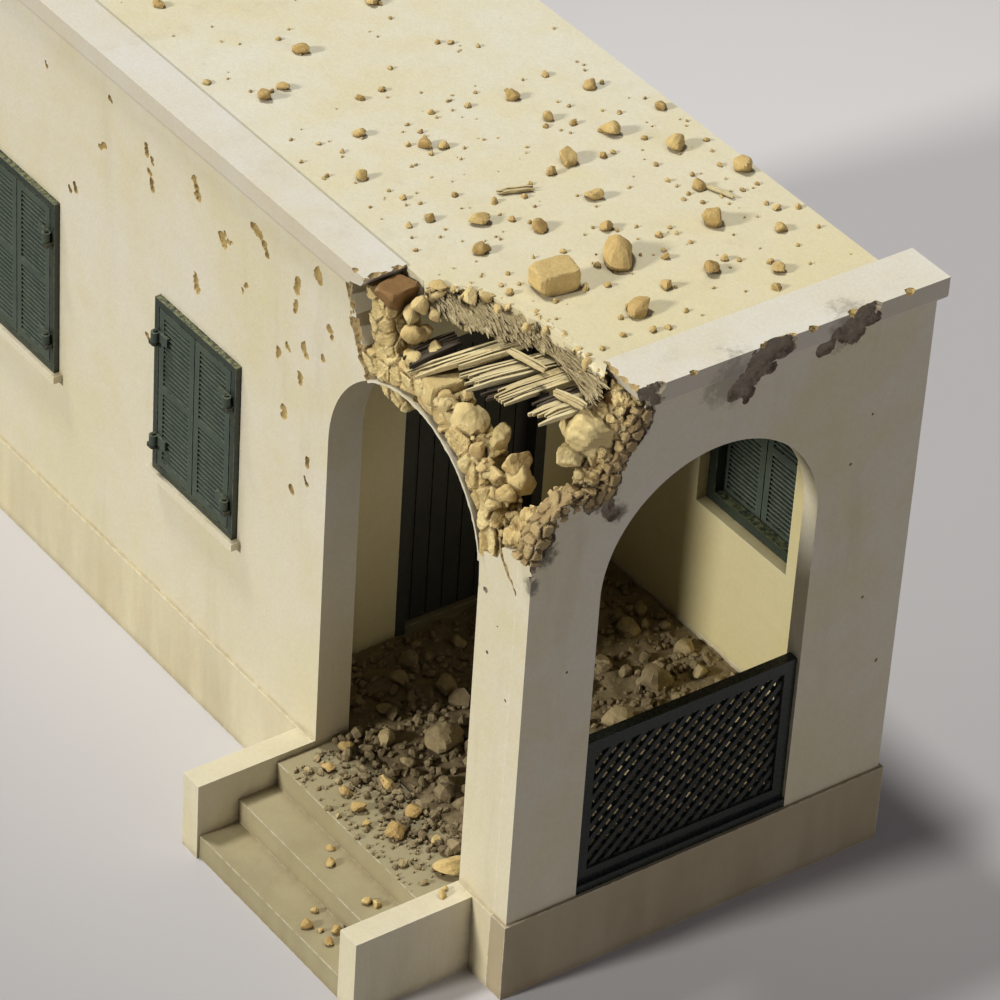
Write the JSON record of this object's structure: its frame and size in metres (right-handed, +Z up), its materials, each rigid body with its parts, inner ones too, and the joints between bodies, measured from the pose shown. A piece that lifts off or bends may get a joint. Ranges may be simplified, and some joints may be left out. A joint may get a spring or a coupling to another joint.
{
  "type": "miniature ruined building",
  "caption": "Scale model of a plastered flat-roofed house with an arched corner porch, broken at one corner, with steps, railing, hinged shutters and a double door.",
  "frame": {"origin": "centre of the walls' footprint on the ground, on the underside of the base board", "axes": "+Z up, -Y out of the arched end wall, -X out of the long wall with the steps"},
  "size_m": [0.1136, 0.2106, 0.1309],
  "materials": {
    "plaster": "cream lime plaster, weathered, matt",
    "step_stone": "grey-beige stone, dusty",
    "rubble_stone": "rough ochre stone",
    "fired_brick": "fired clay brick, rough",
    "dry_wood": "dry splintered wood",
    "green_paint": "dark green paint, chipped along edges",
    "rail_paint": "black-green paint, slightly glossy",
    "hinge_iron": "painted iron hinge",
    "grey_board": "plain base board"
  },
  "bodies": {
    "house": {"base_board": "grey_board", "plinth_front": "plaster", "plinth_left": "plaster", "plinth_right": "plaster", "plinth_rear": "plaster", "porch_floor": "step_stone", "room_floor": "step_stone", "lower_step": "step_stone", "middle_step": "step_stone", "landing": "step_stone", "cheek_near": "plaster", "cheek_far": "plaster", "long_wall": "plaster", "corner_pier": "plaster", "front_wall": "plaster", "right_wall": "plaster", "rear_wall": "plaster", "porch_wall": "plaster", "arch_stones": "rubble_stone", "wall_stones": "rubble_stone", "pier_stones": "rubble_stone", "front_stones": "rubble_stone", "roof_deck": "plaster", "left_coping": "plaster", "front_coping": "plaster", "rear_coping": "plaster", "ceiling_boards": "dry_wood", "split_laths": "dry_wood", "loose_brick": "fired_brick", "front_window_frame": "green_paint", "front_window_sill": "plaster", "front_window_pintles": "hinge_iron", "rear_window_frame": "green_paint", "rear_window_sill": "plaster", "rear_window_pintles": "hinge_iron", "porch_window_frame": "green_paint", "porch_window_sill": "plaster", "porch_window_pintles": "hinge_iron", "door_frame": "green_paint", "door_pintles": "hinge_iron", "threshold": "rail_paint", "rail_frame": "rail_paint", "lattice_outer": "rail_paint", "lattice_inner": "rail_paint", "roof_rubble": "rubble_stone", "porch_rubble": "rubble_stone", "step_rubble": "rubble_stone"},
    "front_window_leaf_left": {"front_window_leaf_left": "green_paint"},
    "front_window_leaf_right": {"front_window_leaf_right": "green_paint"},
    "rear_window_leaf_left": {"rear_window_leaf_left": "green_paint"},
    "rear_window_leaf_right": {"rear_window_leaf_right": "green_paint"},
    "porch_window_leaf_left": {"porch_window_leaf_left": "green_paint"},
    "porch_window_leaf_right": {"porch_window_leaf_right": "green_paint"},
    "door_leaf_left": {"door_leaf_left": "green_paint"},
    "door_leaf_right": {"door_leaf_right": "green_paint"}
  },
  "joints": [
    {"name": "front_window_left_hinge", "type": "hinge", "parent": "house", "child": "front_window_leaf_left", "pos_m": [-0.04455, 0.0106, 0.06525], "axis": [0, 0, -1], "range_deg": [0, 165]},
    {"name": "front_window_right_hinge", "type": "hinge", "parent": "house", "child": "front_window_leaf_right", "pos_m": [-0.04455, -0.0136, 0.06525], "axis": [0, 0, 1], "range_deg": [0, 165]},
    {"name": "rear_window_left_hinge", "type": "hinge", "parent": "house", "child": "rear_window_leaf_left", "pos_m": [-0.04455, 0.0733, 0.06525], "axis": [0, 0, -1], "range_deg": [0, 165]},
    {"name": "rear_window_right_hinge", "type": "hinge", "parent": "house", "child": "rear_window_leaf_right", "pos_m": [-0.04455, 0.0491, 0.06525], "axis": [0, 0, 1], "range_deg": [0, 165]},
    {"name": "porch_window_left_hinge", "type": "hinge", "parent": "house", "child": "porch_window_leaf_left", "pos_m": [0.04455, -0.0757, 0.06525], "axis": [0, 0, -1], "range_deg": [0, 165]},
    {"name": "porch_window_right_hinge", "type": "hinge", "parent": "house", "child": "porch_window_leaf_right", "pos_m": [0.04455, -0.0515, 0.06525], "axis": [0, 0, 1], "range_deg": [0, 165]},
    {"name": "door_left_hinge", "type": "hinge", "parent": "house", "child": "door_leaf_left", "pos_m": [0.01995, -0.01855, 0.0486], "axis": [0, 0, -1], "range_deg": [0, 105]},
    {"name": "door_right_hinge", "type": "hinge", "parent": "house", "child": "door_leaf_right", "pos_m": [-0.00995, -0.01855, 0.0486], "axis": [0, 0, 1], "range_deg": [0, 105]}
  ]
}
